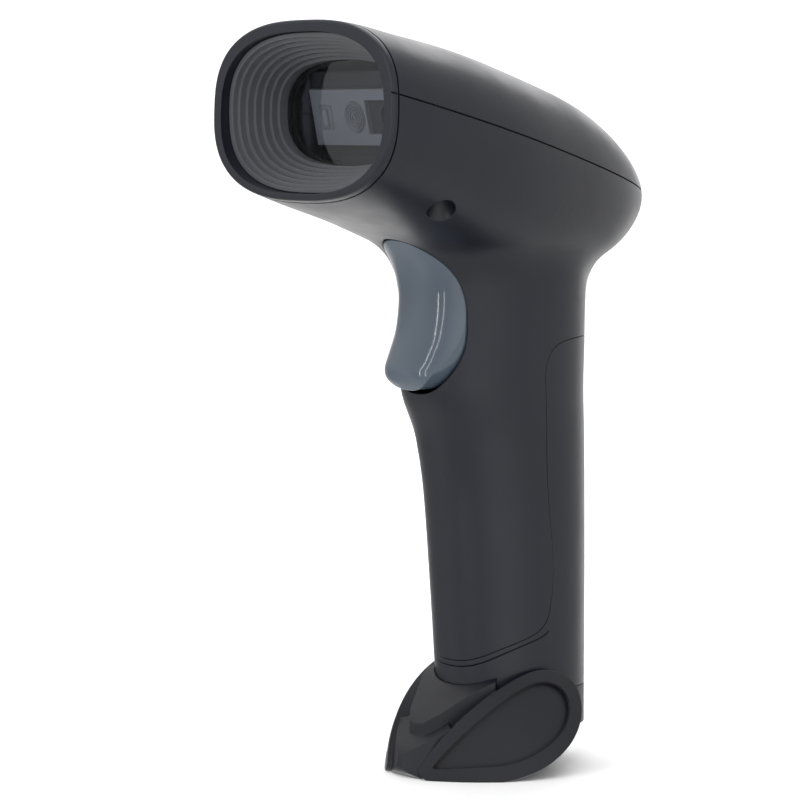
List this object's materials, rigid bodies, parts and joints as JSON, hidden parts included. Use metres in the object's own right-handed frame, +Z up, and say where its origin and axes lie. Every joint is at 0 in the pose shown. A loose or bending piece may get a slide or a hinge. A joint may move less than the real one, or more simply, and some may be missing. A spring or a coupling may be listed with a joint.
{
  "type": "handheld barcode scanner",
  "caption": "Cordless pistol-grip barcode scanner with a stepped light hood, a finger trigger and a flared foot.",
  "frame": {"origin": "on the sole of the foot, below the centre line of the grip", "axes": "+Z up along the grip, -Y the way the scanner reads, X across it"},
  "size_m": [0.0612, 0.0921, 0.1587],
  "materials": {
    "casing": "fine spark-eroded texture, soft sheen",
    "foot": "fine matte texture",
    "screw": "black zinc",
    "circuit_board": "green solder mask",
    "steel": "plain",
    "hood": "satin",
    "window": "tinted, polished",
    "gasket": "matte",
    "engine_dark": "matte",
    "engine_grey": "satin",
    "lens": "clear",
    "ribbon": "amber film",
    "chip": "matte",
    "trigger": "polished blue-grey",
    "spring": "bright wire",
    "switch": "matte",
    "switch_plunger": "matte",
    "battery": "shrink sleeve",
    "brass": "plated",
    "foam": "closed-cell foam",
    "lead": "insulated wire"
  },
  "bodies": {
    "root": {"top_cover": "casing", "main_housing": "casing", "rear_grip_cover": "casing", "foot": "foot", "foot_screws": "screw", "charging_board": "circuit_board", "charging_socket": "steel", "light_hood": "hood", "scan_window": "window", "window_gasket": "gasket", "engine_bracket": "engine_dark", "engine_front": "engine_grey", "lamp_lenses": "lens", "aimer_lens": "lens", "lens_barrel": "engine_dark", "camera_lens": "lens", "sensor_board": "circuit_board", "engine_screws": "screw", "engine_ribbon": "ribbon", "main_board": "circuit_board", "processor_chip": "chip", "radio_module": "steel", "buzzer": "chip", "board_screws": "screw", "trigger_pin": "steel", "trigger_spring": "spring", "switch_board": "circuit_board", "switch_body": "switch", "battery": "battery", "battery_contacts": "brass", "battery_pad": "foam", "battery_leads": "lead", "cover_screw": "screw", "neck_screws": "screw"},
    "trigger": {"trigger": "trigger"},
    "plunger": {"switch_plunger": "switch_plunger"}
  },
  "joints": [
    {"name": "trigger_pivot", "type": "hinge", "parent": "root", "child": "trigger", "pos_m": [0, -0.0205, 0.1094], "axis": [1, 0, 0], "range_deg": [0, 4.5], "stiffness_Nm_per_rad": 0.6, "deforming": ["trigger_spring"]},
    {"name": "plunger_slide", "type": "slide", "parent": "root", "child": "plunger", "axis": [0, 1, 0], "range_m": [0, 0.000803]}
  ],
  "couplings": [
    {"joint": "plunger_slide", "follows": "trigger_pivot", "m_per_rad": 0.0099}
  ]
}
